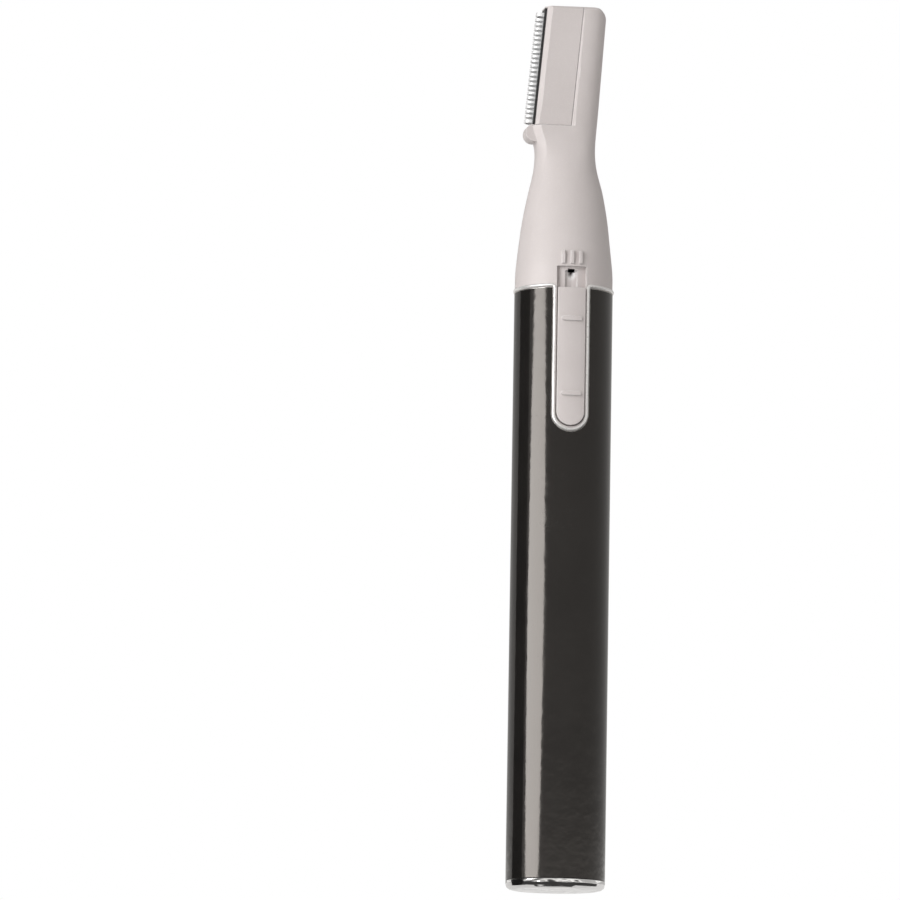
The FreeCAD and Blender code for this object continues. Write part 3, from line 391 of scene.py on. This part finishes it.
def swept_bead(name, path, half_width, rise, sink, mat):
    """A closed bead with a crowned section, flat along the barrel's surface."""
    n = len(path)
    section = [(math.cos(math.pi * k / 8), math.sin(math.pi * k / 8)) for k in range(9)]
    verts, faces = [], []
    for i, p in enumerate(path):
        a, b = Vector(path[i - 1]), Vector(path[(i + 1) % n])
        along = (b - a).normalized()
        p = Vector(p)
        out = Vector((p.x, p.y, 0)).normalized()
        side = along.cross(out).normalized()
        out = side.cross(along).normalized()
        for c, h in section:
            q = p + side * (c * half_width) + out * (h * rise)
            verts.append(tuple(q * MM))
        for c in (-1, 1):
            q = p + side * (c * half_width) - out * sink
            verts.append(tuple(q * MM))
    m = 11
    order = list(range(9)) + [9, 10]
    for i in range(n):
        j = (i + 1) % n
        for k in range(m):
            k2 = (k + 1) % m
            faces.append((i * m + order[k], i * m + order[k2], j * m + order[k2], j * m + order[k]))
    ob = mesh_object(name, verts, faces, mat)
    bm = bmesh.new()
    bm.from_mesh(ob.data)
    bmesh.ops.recalc_face_normals(bm, faces=bm.faces)
    for f in bm.faces:
        f.smooth = True
    for e in bm.edges:
        if len(e.link_faces) == 2 and e.calc_face_angle(0) > math.radians(50):
            e.smooth = False
    bm.to_mesh(ob.data)
    bm.free()
    return ob


bead = swept_bead("slot_and_neck_bead", bead_path(), 0.285, 0.26, 0.30, polished_trim())
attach(bead, "chassis")

radii = [0.0062, 0.02, 0.1, 0.5, 1.6, 2.4]
ring_verts, ring_faces = [], []
N = 96
for r in radii:
    for i in range(N):
        a = 2 * math.pi * i / N
        ring_verts.append((r * math.cos(a), r * math.sin(a), -0.0002))
for k in range(len(radii) - 1):
    for i in range(N):
        j = (i + 1) % N
        ring_faces.append((k * N + i, (k + 1) * N + i, (k + 1) * N + j, k * N + j))
floor = mesh_object("studio_floor", ring_verts, ring_faces, floor_material())
floor.visible_glossy = False

world = bpy.data.worlds.new("studio_world")
scene.world = world
world.use_nodes = True
wt = world.node_tree
wt.nodes.clear()
w_out = wt.nodes.new("ShaderNodeOutputWorld")
w_mix = wt.nodes.new("ShaderNodeMixShader")
w_gloss = wt.nodes.new("ShaderNodeMixShader")
w_path = wt.nodes.new("ShaderNodeLightPath")
w_light = wt.nodes.new("ShaderNodeBackground")
w_seen = wt.nodes.new("ShaderNodeBackground")
w_mirror = wt.nodes.new("ShaderNodeBackground")
w_coord = wt.nodes.new("ShaderNodeTexCoord")
w_split = wt.nodes.new("ShaderNodeSeparateXYZ")
w_scale = wt.nodes.new("ShaderNodeMapRange")
w_ramp = wt.nodes.new("ShaderNodeValToRGB")
w_light.inputs[0].default_value = (1.0, 0.985, 0.965, 1)
w_light.inputs[1].default_value = 0.49
w_seen.inputs[0].default_value = (1, 1, 1, 1)
w_seen.inputs[1].default_value = 1.0
wt.links.new(w_coord.outputs["Generated"], w_split.inputs[0])
w_scale.inputs["From Min"].default_value = -0.6
w_scale.inputs["From Max"].default_value = 0.4
wt.links.new(w_split.outputs[2], w_scale.inputs["Value"])
wt.links.new(w_scale.outputs["Result"], w_ramp.inputs[0])
SWEEP = [(-0.60, 0.05), (-0.30, 0.06), (-0.16, 0.10), (-0.07, 0.90), (0.030, 1.00), (0.060, 1.15), (0.0712, 1.15), (0.0722, 0.50), (0.4, 0.50)]
while len(w_ramp.color_ramp.elements) < len(SWEEP):
    w_ramp.color_ramp.elements.new(0.5)
for e, (height, level) in zip(w_ramp.color_ramp.elements, SWEEP):
    e.position = (height + 0.6) / 1.0
    e.color = (level, level * 0.985, level * 0.965, 1.0)
# behind the object the paper sweep is bright down to its foot
w_behind = wt.nodes.new("ShaderNodeMath")
w_behind.operation = "GREATER_THAN"
wt.links.new(w_split.outputs[1], w_behind.inputs[0])
w_behind.inputs[1].default_value = 0.3
w_low = wt.nodes.new("ShaderNodeMath")
w_low.operation = "LESS_THAN"
wt.links.new(w_split.outputs[2], w_low.inputs[0])
w_low.inputs[1].default_value = -0.02
w_both = wt.nodes.new("ShaderNodeMath")
w_both.operation = "MULTIPLY"
wt.links.new(w_behind.outputs[0], w_both.inputs[0])
wt.links.new(w_low.outputs[0], w_both.inputs[1])
w_pick = wt.nodes.new("ShaderNodeMix")
w_pick.data_type = "RGBA"
w_ins = [k for k in w_pick.inputs if k.enabled]
wt.links.new(w_both.outputs[0], w_ins[0])
wt.links.new(w_ramp.outputs[0], w_ins[1])
w_ins[2].default_value = (0.72, 0.71, 0.70, 1)
wt.links.new([k for k in w_pick.outputs if k.enabled][0], w_mirror.inputs[0])
w_mirror.inputs[1].default_value = 1.0
wt.links.new(w_path.outputs["Is Glossy Ray"], w_gloss.inputs[0])
wt.links.new(w_light.outputs[0], w_gloss.inputs[1])
wt.links.new(w_mirror.outputs[0], w_gloss.inputs[2])
wt.links.new(w_path.outputs["Is Camera Ray"], w_mix.inputs[0])
wt.links.new(w_gloss.outputs[0], w_mix.inputs[1])
wt.links.new(w_seen.outputs[0], w_mix.inputs[2])
wt.links.new(w_mix.outputs[0], w_out.inputs[0])


def softbox(name, centre, aim, wide, tall, radiance, diffuse=True, glossy=True, oval=False):
    li = bpy.data.lights.new(name, "AREA")
    li.shape = "ELLIPSE" if oval else "RECTANGLE"
    li.size, li.size_y = wide, tall
    li.energy = radiance * math.pi * wide * tall * (math.pi / 4 if oval else 1.0)
    ob = bpy.data.objects.new(name, li)
    scene.collection.objects.link(ob)
    ob.location = centre
    ob.rotation_mode = "QUATERNION"
    ob.rotation_quaternion = (Vector(centre) - Vector(aim)).to_track_quat("Z", "Y")
    ob.visible_camera = False
    ob.visible_diffuse = diffuse
    ob.visible_glossy = glossy
    return ob


softbox("stripe_softbox", (-0.503, -0.216, 0.107), (0, 0, 0.107), 0.42, 0.209, 9.0, diffuse=False, oval=True)
softbox("key_softbox", (-0.64, -0.57, 0.32), (0, 0, 0.08), 0.5, 0.7, 5.3, glossy=False)

def card(name, azimuth, width_deg, distance, z0, z1, tilt=0.0):
    """A matt black card that only reflections see, at that azimuth round the object."""
    a0, a1 = math.radians(azimuth - width_deg / 2), math.radians(azimuth + width_deg / 2)
    pts = []
    for z in (z0, z1):
        for a in (a0, a1):
            pts.append((math.sin(a) * distance, -math.cos(a) * distance, z))
    ob = mesh_object(name, pts, [(0, 1, 3, 2)], CARD)
    ob.visible_camera = False
    ob.visible_diffuse = False
    ob.visible_shadow = False
    return ob


def card_material():
    g = Graph("black_card")
    g.set(Base_Color=g.ramp(g.noise(30, 3), [(0.3, (0.004, 0.004, 0.004)), (0.7, (0.008, 0.008, 0.008))]), Roughness=0.9)
    return g.mat


CARD = card_material()
card("dark_card_left", -112.0, 36.0, 0.7, -0.4, 1.1)

# ---------------------------------------------------------------- camera
cam_data = bpy.data.cameras.new("camera")
cam = bpy.data.objects.new("camera", cam_data)
scene.collection.objects.link(cam)
cam_data.sensor_width = 36.0
cam_data.lens = 252.5
cam_data.clip_start, cam_data.clip_end = 0.05, 20.0
eye = Vector((-0.1716, -0.973, -0.069))
target = Vector((0.0, 0.0, 0.0694))
look = (target - eye).normalized()
right = look.cross(Vector((0, 0, 1))).normalized()
look = (look - right * math.tan(math.radians(1.010))).normalized()
q = look.to_track_quat("-Z", "Y")
roll = Matrix.Rotation(math.radians(0.96), 4, "Z").to_quaternion()
cam.rotation_mode = "QUATERNION"
cam.location = eye
cam.rotation_quaternion = q @ roll
scene.camera = cam
scene.view_settings.view_transform = "Standard"
scene.view_settings.look = "None"
